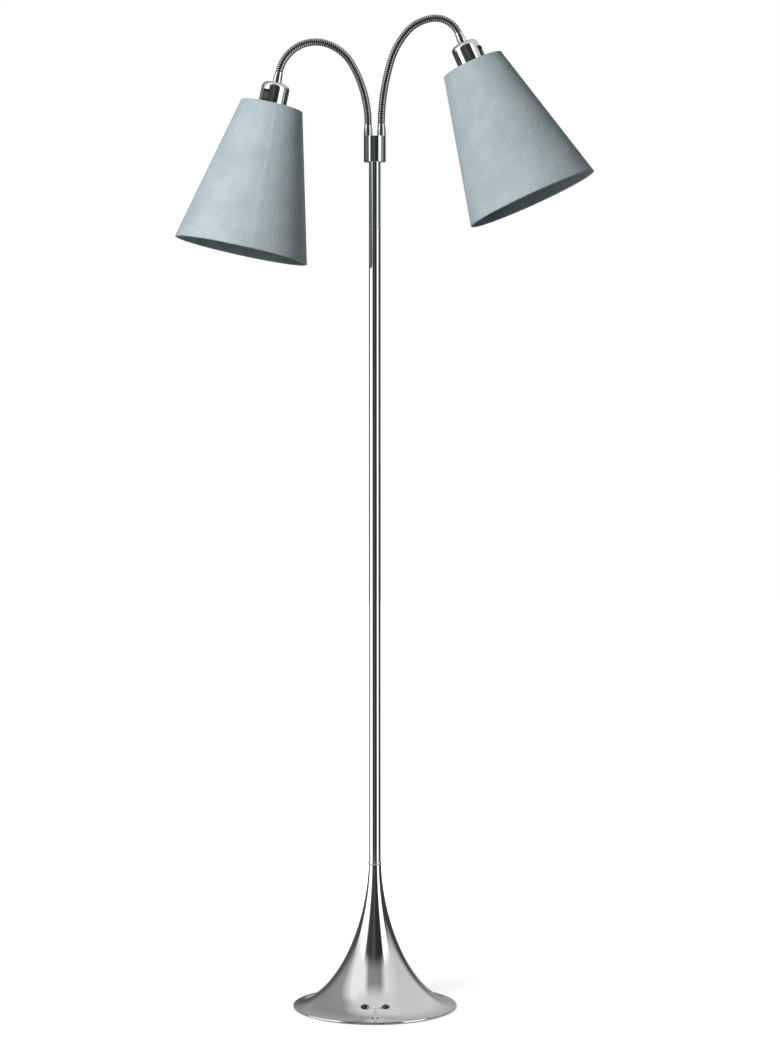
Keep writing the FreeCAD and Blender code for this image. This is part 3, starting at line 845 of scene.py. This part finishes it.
def shade_cloth(name, light, dark):
    """Plain weave with slubs: fine ribs both ways, and short thick places along the threads."""
    material = new_material(name)
    sheet_place = node(material, "ShaderNodeTexCoord").outputs["UV"]
    warp_map = node(material, "ShaderNodeMapping", {
        "Vector": sheet_place, "Scale": (2600.0, 55.0, 1.0)})
    weft_map = node(material, "ShaderNodeMapping", {
        "Vector": sheet_place, "Scale": (60.0, 2400.0, 1.0)})
    warp = node(material, "ShaderNodeTexNoise", {
        "Vector": warp_map.outputs[0], "Scale": 1.0, "Detail": 2.0})
    weft = node(material, "ShaderNodeTexNoise", {
        "Vector": weft_map.outputs[0], "Scale": 1.0, "Detail": 2.0})
    slubs = None
    for scale in ((900.0, 75.0, 1.0), (80.0, 900.0, 1.0)):
        slub_map = node(material, "ShaderNodeMapping", {"Vector": sheet_place, "Scale": scale})
        slub = node(material, "ShaderNodeTexNoise", {
            "Vector": slub_map.outputs[0], "Scale": 1.0, "Detail": 1.0})
        rare = 0.60 if slubs is None else 0.66
        thick = ramp(material, slub.outputs["Fac"], [(rare, 0.0), (rare + 0.07, 1.0)])
        slubs = thick if slubs is None else math_node(material, "MAXIMUM", slubs, thick)
    threads = math_node(material, "ADD", warp.outputs["Fac"], weft.outputs["Fac"])
    mottle = node(material, "ShaderNodeTexNoise", {
        "Vector": sheet_place, "Scale": 26.0, "Detail": 4.0})
    tone = math_node(material, "ADD", threads, mottle.outputs["Fac"])
    tone = math_node(material, "MULTIPLY", tone, 1.0 / 3.0)
    colour = ramp(material, tone, [(0.38, dark), (0.62, light)])
    paler = tuple(min(1.0, 1.30 * c) for c in light)
    thread_share = math_node(material, "MULTIPLY", slubs, 0.55)
    colour = node(material, "ShaderNodeMix", {0: thread_share, 6: colour, 7: (*paler, 1.0)},
                  data_type="RGBA")
    raised_thread = math_node(material, "MULTIPLY", slubs, 1.6)
    height = math_node(material, "ADD", threads, raised_thread)
    bump = node(material, "ShaderNodeBump", {"Height": height, "Strength": 0.7, "Distance": 0.0003})
    shader = node(material, "ShaderNodeBsdfPrincipled", {
        "Base Color": colour.outputs[2], "Roughness": 0.82,
        "Sheen Weight": 0.18, "Sheen Roughness": 0.5,
        "Specular IOR Level": 0.28, "Normal": bump.outputs[0]})
    node(material, "ShaderNodeOutputMaterial", {"Surface": shader.outputs[0]})
    return material


def cone_radius(depth):
    """The shade's outer radius this far below its top wire's plane."""
    return SHADE_TOP + (SHADE_BOTTOM - SHADE_TOP) * depth / SHADE_HEIGHT


def wire_centre(end):
    """Where the wire ring lies inside the fold at the shade's top or bottom."""
    inward = FOLD_EASE * (WIRE + CLOTH_THICKNESS)
    if end == "top":
        return cone_radius(WIRE + CLOTH_THICKNESS) - inward, -SHADE_DROP - WIRE - WIRE_ROOM
    depth = SHADE_HEIGHT - WIRE - CLOTH_THICKNESS
    return cone_radius(depth) - inward, -SHADE_DROP - SHADE_HEIGHT + WIRE + WIRE_ROOM


def cloth_middle():
    """The middle of the cloth's thickness, from the end of the top fold to the bottom one's."""
    half = CLOTH_THICKNESS / 2
    bend = WIRE + half + 0.02
    top_r, top_z = wire_centre("top")
    low_r, low_z = wire_centre("bottom")
    hem = 2.2 * CLOTH_THICKNESS
    tucked = 1.9 * CLOTH_THICKNESS
    low_end = -SHADE_DROP - SHADE_HEIGHT
    points = [(cone_radius(HEM_FOLD) - hem, -SHADE_DROP - HEM_FOLD)]
    points += [(cone_radius(TUCK) - tucked - 1.4, -SHADE_DROP - TUCK)]
    points += arc_points(top_r, top_z, bend, 180.0, 14.0, FOLD_STEPS)
    for k in range(SKIN_ROWS):
        depth = 4.0 + (SHADE_HEIGHT - 8.0) * k / (SKIN_ROWS - 1.0)
        points.append((cone_radius(depth) - half - SKIN_DIP, -SHADE_DROP - depth))
    points += arc_points(low_r, low_z, bend, -14.0, -180.0, FOLD_STEPS)
    points += [(cone_radius(SHADE_HEIGHT - TUCK) - tucked - 1.4, low_end + TUCK)]
    points += [(cone_radius(SHADE_HEIGHT - HEM_FOLD) - hem, low_end + HEM_FOLD)]
    return points


def lengths_along(points):
    """The distance of each point from the first, in metres."""
    lengths = [0.0]
    for (r0, z0), (r1, z1) in zip(points, points[1:]):
        lengths.append(lengths[-1] + math.hypot(r1 - r0, z1 - z0) * MM)
    return lengths


def cloth_skin(name, middle, sides, face, backing_with_painted_shade, place):
    """Cloth of even thickness turned round the shade's axis, closed by a glued lap behind."""
    count = len(middle)
    lengths = lengths_along(middle)
    rows = []
    for offset in (1.0, -1.0):
        side_rows = []
        for k, (r, z) in enumerate(middle):
            before, after = middle[max(k - 1, 0)], middle[min(k + 1, count - 1)]
            dr, dz = after[0] - before[0], after[1] - before[1]
            size = math.hypot(dr, dz)
            reach = offset * CLOTH_THICKNESS / 2
            side_rows.append((r - dz / size * reach, z + dr / size * reach, lengths[k]))
        rows += side_rows if offset > 0 else reversed(side_rows)
    points, faces, layout = [], [], []
    for row, (r, z, length) in enumerate(rows):
        for k in range(sides):
            a = 2 * math.pi * k / sides + math.pi / 2
            lap = LAP_STEP if k < LAP_COLUMNS and row < count else 0.0
            points.append(((r + lap) * math.cos(a) * MM, (r + lap) * math.sin(a) * MM, z * MM))
    around = math.pi * (SHADE_TOP + SHADE_BOTTOM) * MM
    for row in range(len(rows)):
        after = (row + 1) % len(rows)
        for k in range(sides):
            n = (k + 1) % sides
            near, far = row * sides, after * sides
            faces.append((near + k, near + n, far + n, far + k))
            here, there = around * k / sides, around * (k + 1) / sides
            layout.append(((here, rows[row][2]), (there, rows[row][2]),
                           (there, rows[after][2]), (here, rows[after][2])))
    made = solid(name, points, faces, face, 50.0, place, layout)
    # The inside faces take the backing, whose darker colour is painted shade.
    made.data.materials.append(backing_with_painted_shade)
    for polygon in made.data.polygons:
        polygon.material_index = 1 if polygon.index >= count * sides else 0
    return made


linen = shade_cloth("linen_cloth", (0.455, 0.535, 0.560), (0.325, 0.400, 0.422))
# The backing's colours are darker than the linen's: painted shade for the inside of the shade, where
# little light reaches.
backing_with_painted_shade = shade_cloth("backing_with_painted_shade", (0.36, 0.43, 0.42), (0.30, 0.37, 0.36))
white_lacquer = grained("white_lacquer", (0.66, 0.66, 0.65), (0.74, 0.74, 0.73), 0.35, 500.0, 0.00005)

middle = cloth_middle()

for side, arm in ARMS.items():
    head = side + "_head"
    place = head_place(arm)
    cloth = cloth_skin(side + "_shade_cloth", middle, CLOTH_SIDES, linen, backing_with_painted_shade, place)
    stands_for(cloth, head, "shade_cloth", side + "_shade_fabric")
    for end in ("top", "bottom"):
        ring_r, ring_z = wire_centre(end)
        hoop = arc_points(ring_r, ring_z, WIRE, 0.0, 360.0, 16)
        hoop[-1] = hoop[0]
        ring = lathe(side + "_" + end + "_hoop", hoop, 120, white_lacquer, 60.0, place)
        stands_for(ring, head, "shade_wire", side + "_shade_" + end + "_wire")
    finish_node(side + "_shade_spider", white_lacquer)
